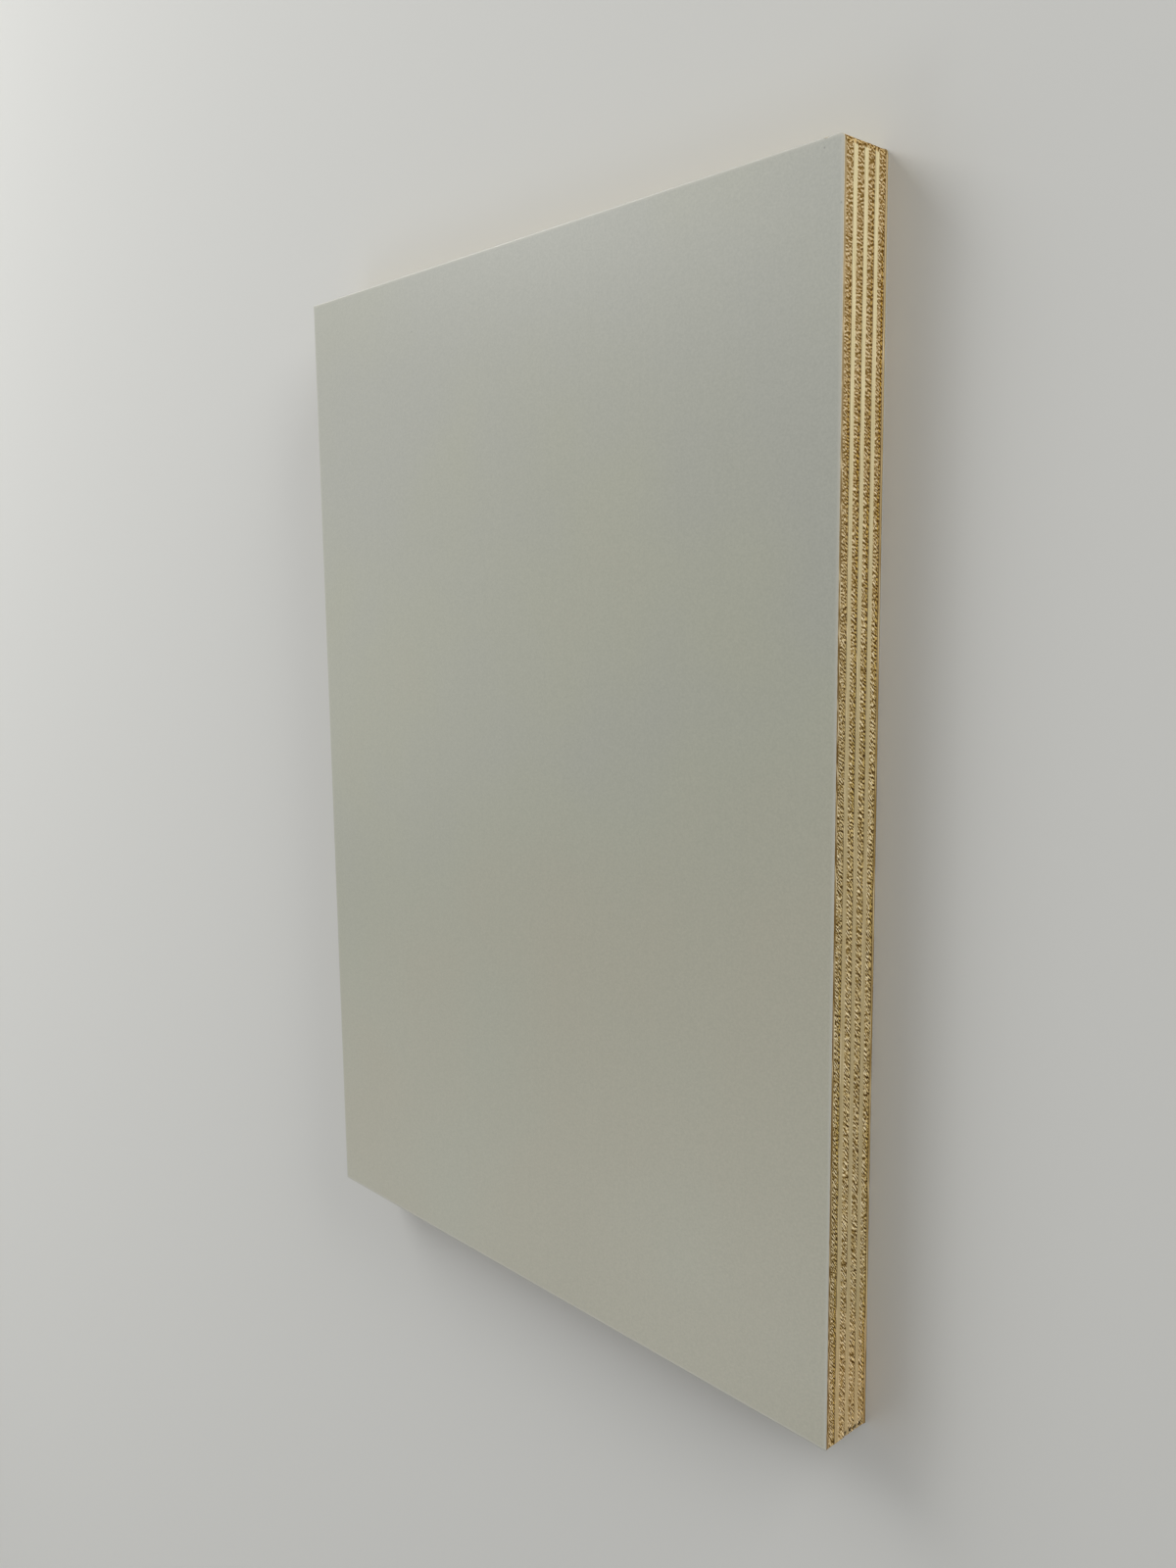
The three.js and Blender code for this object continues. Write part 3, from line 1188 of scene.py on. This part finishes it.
@dataclass
class LayUp:
    """The whole stack: two overlays, two outer veneers, four crossbands and three core veneers.

    Attributes:
        plies: The nine veneers, from the underside up.
        film: The overlay of the back, which has no specks.
        specks: Places of the specks in the face, in X and Y, in millimetres.
    """

    plies: tuple[Ply, ...] = (
        Ply(
            "back_veneer",
            "outer_veneer",
            Grain.ALONG,
            replace(PLUS_END_WOOD, long="#b9a47d", line="#a08b62"),
            replace(MINUS_END_WOOD, long="#8e7544", line="#786132"),
            fade=(0.015, 0.125),
        ),
        Ply("crossband_1", "crossband", Grain.ACROSS, bites=(2.2,), looseness=(0.8, 0.9, 1.1, 0.4)),
        Ply("core_veneer_1", "core_veneer", Grain.ALONG, bites=(4.1,)),
        Ply("crossband_2", "crossband", Grain.ACROSS, bites=(6.0,), looseness=(0.45, 1.0, 1.2, 0.6)),
        Ply("centre_veneer", "core_veneer", Grain.ALONG, bites=(8.1,)),
        Ply("crossband_3", "crossband", Grain.ACROSS, looseness=(0.15, 1.2, 1.1, 0.2)),
        Ply("core_veneer_2", "core_veneer", Grain.ALONG),
        Ply(
            "crossband_4",
            "crossband",
            Grain.ACROSS,
            minus_end=MINUS_END_WOOD.shaded(0.87),
            looseness=(1.0, 0.55, 1.0, 0.05),
        ),
        Ply(
            "face_veneer",
            "outer_veneer",
            Grain.ALONG,
            replace(PLUS_END_WOOD, long="#a08b67", line="#8a754e"),
            replace(MINUS_END_WOOD, long="#6b542b", line="#5a451f"),
            fade=(0.045, 0.125),
            chipped=True,
        ),
    )
    film: ResinOverlay = ResinOverlay(
        name="resin_film_back",
        base="#a9aa9a",
        # warm and cool carry the painted sheen along the sheet
        warm="#aba998",
        cool="#a7a89d",
        # the paler arris colour is a painted highlight
        arris="#b3b2a6",
        cut_fresh="#a29370",
        cut_aged="#664a14",
        speck="#5f5d57",
    )
    specks: tuple[tuple[float, float], ...] = ((99.9, 146.4), (104.4, 134.5), (-51.0, 132.1))

    def veneers(self) -> list[SawnVeneer]:
        """Lists the nine veneers from the underside up, each with its own wood.

        Returns:
            The veneers, not yet built.
        """
        layers = []
        for index, ply in enumerate(self.plies):
            name, shift = f"peeled_hardwood_{ply.node}", 0.37 * index
            finish = PeeledVeneer(name, ply.grain, ply.plus_end, ply.minus_end, ply.fade, shift)
            seed = 31 * index + 5
            layers.append(
                SawnVeneer(ply.node, ply.slot, finish, seed, ply.bites, ply.chipped, ply.looseness)
            )
        return layers

    def overlays(self) -> list[Overlay]:
        """Lists the two overlays, of the same film.

        Returns:
            The back and the face, not yet built.
        """
        face = replace(self.film, name="resin_film_face", speck_places=self.specks)
        return [
            Overlay("back_overlay", Side.BACK, self.film, seed=401),
            Overlay("face_overlay", Side.FACE, face, seed=409, chipped=True),
        ]

    def build(self) -> list[bpy.types.Object]:
        """Builds every layer and reports it.

        Returns:
            The finished pieces.
        """
        pieces = []
        for layer in [*self.veneers(), *self.overlays()]:
            piece = layer.build()
            triangles = sum(len(polygon.vertices) - 2 for polygon in piece.data.polygons)
            LOG.info("built %s for %s: %d triangles", piece.name, layer.node, triangles)
            pieces.append(piece)
        return pieces


# --------------------------------------------------------------------------- the set


@dataclass(frozen=True)
class Softbox:
    """A soft lamp that faces the sheet.

    Attributes:
        name: Name of the lamp.
        place: Where it hangs, in metres.
        size: Its width and height, in metres.
        power: Its power in watts.
    """

    name: str
    place: tuple[float, float, float]
    size: tuple[float, float]
    power: float

    def build(self) -> None:
        """Hangs the lamp."""
        data = bpy.data.lights.new(self.name, "AREA")
        data.shape = "RECTANGLE"
        data.size, data.size_y = self.size
        data.energy = self.power
        lamp = bpy.data.objects.new(self.name, data)
        lamp.location = self.place
        lamp.rotation_euler = (-Vector(self.place)).to_track_quat("-Z", "Y").to_euler()
        bpy.context.scene.collection.objects.link(lamp)


@dataclass
class Studio:
    """A pale paper floor under soft lamps and an even sky.

    Attributes:
        floor_half: Half the side of the floor, in metres.
        sky_strength: Strength of the sky's light.
        seen_sky: Its strength where the camera looks straight at it.
        lamps: The soft lamps.
    """

    floor_half: float = 0.65
    sky_strength: float = 0.32
    seen_sky: float = 0.62
    lamps: tuple[Softbox, ...] = (
        Softbox("key_softbox", (1.35, 0.95, 0.3), (1.2, 0.5), 21.0),
        Softbox("window_softbox", (-1.25, 0.1, 0.7), (0.7, 0.7), 1.8),
        Softbox("far_softbox", (-1.0, 0.9, 0.7), (0.8, 0.8), 11.6),
        Softbox("near_softbox", (-0.65, -0.72, 0.85), (0.45, 0.45), 0.85),
        Softbox("high_softbox", (-0.5, 0.5, 0.95), (0.4, 0.4), 0.65),
        Softbox("low_softbox", (-0.53, -0.85, 0.8), (0.4, 0.4), 0.4),
        Softbox("side_softbox", (-1.1, -0.6, 0.6), (0.5, 0.5), 0.65),
    )

    def build(self) -> None:
        """Makes the floor, the sky and the lamps."""
        self._floor()
        self._sky()
        for lamp in self.lamps:
            lamp.build()

    def _floor(self) -> None:
        """Lays a square of paper under the sheet."""
        half = self.floor_half
        corners = [(-half, -half, 0), (half, -half, 0), (half, half, 0), (-half, half, 0)]
        mesh = bpy.data.meshes.new("floor")
        mesh.from_pydata(corners, [], [(0, 1, 2, 3)])
        mesh.materials.append(StudioPaper("matt_studio_paper", "#d3d3cf").material())
        floor = bpy.data.objects.new("floor", mesh)
        bpy.context.scene.collection.objects.link(floor)

    def _sky(self) -> None:
        """Gives the world an even, neutral light, which the camera itself sees paler."""
        world = bpy.data.worlds.new("studio_sky")
        bpy.context.scene.world = world
        world.use_nodes = True
        background = world.node_tree.nodes["Background"]
        background.inputs["Color"].default_value = (1.0, 1.0, 1.0, 1.0)
        seen = add_node(world.node_tree, "LightPath").outputs["Is Camera Ray"]
        limits = {"To Min": self.sky_strength, "To Max": self.seen_sky}
        strength = add_node(world.node_tree, "MapRange", {"Value": seen, **limits}).outputs["Result"]
        world.node_tree.links.new(strength, background.inputs["Strength"])


@dataclass
class ViewCamera:
    """Camera that looks down across the face and one long sawn edge of the sheet.

    Attributes:
        place_mm: Where it stands, in millimetres.
        aim_mm: What it looks at.
        roll_degrees: How far it is turned about its own axis, clockwise.
        lens: Focal length in millimetres.
        sensor: Width of its sensor in millimetres.
    """

    place_mm: tuple[float, float, float] = (280.53, 52.21, 250.67)
    aim_mm: tuple[float, float, float] = (23.92, 4.29, 15.8)
    roll_degrees: float = 0.68
    lens: float = 30.18
    sensor: float = 36.0

    def build(self) -> bpy.types.Object:
        """Makes the camera, its picture's upright along the sheet's length, and puts it in use.

        Returns:
            The camera.
        """
        data = bpy.data.cameras.new("view_camera")
        data.lens = self.lens
        data.sensor_width = self.sensor
        data.clip_start = 0.01
        camera = bpy.data.objects.new("view_camera", data)
        place, aim = Vector(self.place_mm) * MM, Vector(self.aim_mm) * MM
        back = (place - aim).normalized()
        right = Vector((0.0, 1.0, 0.0)).cross(back).normalized()
        upright = back.cross(right)
        turned = Matrix((right, upright, back)).transposed()
        turned = turned @ Matrix.Rotation(math.radians(-self.roll_degrees), 3, "Z")
        camera.matrix_world = Matrix.Translation(place) @ turned.to_4x4()
        bpy.context.scene.collection.objects.link(camera)
        bpy.context.scene.camera = camera
        return camera


def main() -> None:
    """Builds the camera, the sheet and the set."""
    logging.basicConfig(level=logging.INFO, format="%(name)s: %(message)s")
    bpy.context.scene.view_settings.view_transform = "Standard"
    ViewCamera().build()
    pieces = LayUp().build()
    Studio().build()
    LOG.info("dressed the sheet in %d pieces", len(pieces))


if __name__ == "__main__":
    main()
